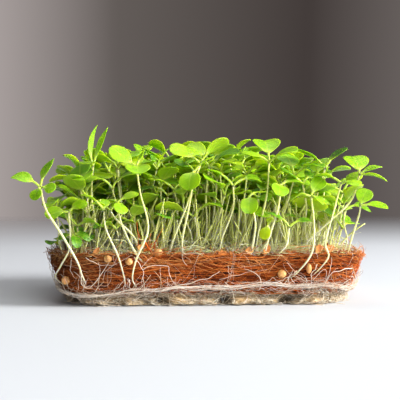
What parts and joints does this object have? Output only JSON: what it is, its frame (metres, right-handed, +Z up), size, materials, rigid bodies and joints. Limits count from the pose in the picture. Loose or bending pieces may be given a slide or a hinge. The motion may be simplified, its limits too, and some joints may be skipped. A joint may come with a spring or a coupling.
{
  "type": "microgreens on a coir mat",
  "caption": "Rectangular coconut-fibre growing mat with a felt of white roots under it and a dense stand of young leafy seedlings on top; rests on a flat surface.",
  "frame": {"origin": "middle of the flat underside of the root felt", "axes": "+Z up, +X along the mat's long side to the right, -Y out of the front long side"},
  "size_m": [0.1244, 0.0906, 0.0608],
  "materials": {
    "coir": "rough matted fibre",
    "roots": "matt, felted, slightly translucent",
    "hull": "satin, dry seed coat",
    "seedling": "satin, translucent leaf, white to pale green stem"
  },
  "bodies": {
    "root": {"coir_mat": "coir", "root_felt": "roots", "seed_hull_01": "hull", "seed_hull_02": "hull", "seed_hull_03": "hull", "seed_hull_04": "hull", "seed_hull_05": "hull", "seed_hull_06": "hull", "seed_hull_07": "hull", "front_seedling_01": "seedling", "front_seedling_02": "seedling", "front_seedling_03": "seedling", "front_seedling_04": "seedling", "front_seedling_05": "seedling", "front_seedling_06": "seedling", "front_seedling_07": "seedling", "front_seedling_08": "seedling", "front_seedling_09": "seedling", "front_seedling_10": "seedling", "front_seedling_11": "seedling", "front_seedling_12": "seedling", "front_seedling_13": "seedling", "front_seedling_14": "seedling", "front_seedling_15": "seedling", "front_seedling_16": "seedling", "seedling_clump_01": "seedling", "seedling_clump_02": "seedling", "seedling_clump_03": "seedling", "seedling_clump_04": "seedling", "seedling_clump_05": "seedling", "seedling_clump_06": "seedling", "seedling_clump_07": "seedling", "seedling_clump_08": "seedling", "seedling_clump_09": "seedling", "seedling_clump_10": "seedling", "seedling_clump_11": "seedling", "seedling_clump_12": "seedling", "seedling_clump_13": "seedling", "seedling_clump_14": "seedling", "seedling_clump_15": "seedling", "seedling_clump_16": "seedling", "seedling_clump_17": "seedling", "seedling_clump_18": "seedling", "seedling_clump_19": "seedling", "seedling_clump_20": "seedling", "seedling_clump_21": "seedling", "seedling_clump_22": "seedling", "seedling_clump_23": "seedling", "seedling_clump_24": "seedling", "seedling_clump_25": "seedling", "seedling_clump_26": "seedling", "seedling_clump_27": "seedling", "seedling_clump_28": "seedling", "seedling_clump_29": "seedling", "seedling_clump_30": "seedling", "seedling_clump_31": "seedling", "seedling_clump_32": "seedling", "seedling_clump_33": "seedling", "seedling_clump_34": "seedling", "seedling_clump_35": "seedling"}
  },
  "joints": []
}
